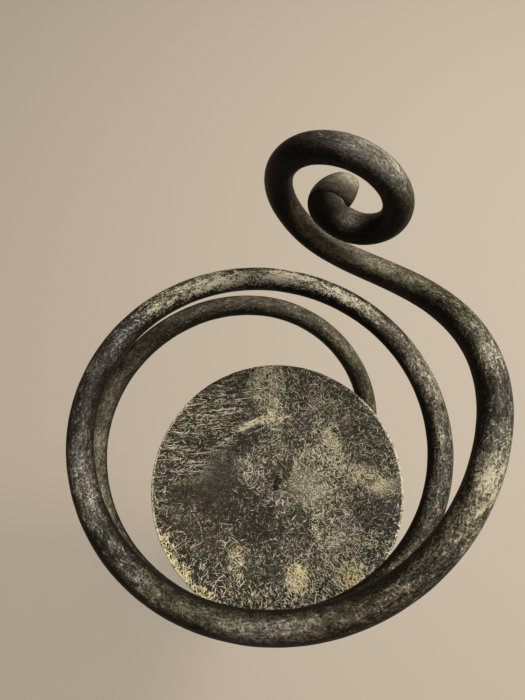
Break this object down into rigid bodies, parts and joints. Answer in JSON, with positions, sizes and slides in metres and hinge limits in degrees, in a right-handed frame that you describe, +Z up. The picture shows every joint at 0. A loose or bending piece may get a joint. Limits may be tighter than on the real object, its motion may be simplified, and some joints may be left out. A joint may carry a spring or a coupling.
{
  "type": "torchere candle stand",
  "caption": "Tall wrought-iron floor stand for a pillar candle: a flat round pan inside a wound bar that ends in an upright scroll, on a stem with scrolled legs.",
  "frame": {"origin": "on the floor, at the middle of the stand's bounding box, about 43 mm behind the stem's axis", "axes": "+Z up; +X to the right and -Y towards the viewer when the stand is seen as in the picture, with the scroll at the back"},
  "size_m": [0.3148, 0.2743, 1.0528],
  "materials": {
    "pan_iron": "dark patina, brushed and scratched, rubbed with a cream wax",
    "bar_iron": "hammered dark patina with worn khaki highlights",
    "stem_iron": "dark patina, waxed",
    "strap_iron": "forge-black, waxed",
    "glide_felt": "stiff pressed felt"
  },
  "bodies": {
    "root": {"candle_pan": "pan_iron", "pan_boss": "stem_iron", "stem": "stem_iron", "coil_rod": "bar_iron", "coil_collar_upper": "strap_iron", "coil_collar_lower": "strap_iron", "leg_back": "bar_iron", "leg_left": "bar_iron", "leg_right": "bar_iron", "leg_collar_upper": "strap_iron", "leg_collar_lower": "strap_iron", "glide_back": "glide_felt", "glide_left": "glide_felt", "glide_right": "glide_felt"}
  },
  "joints": []
}
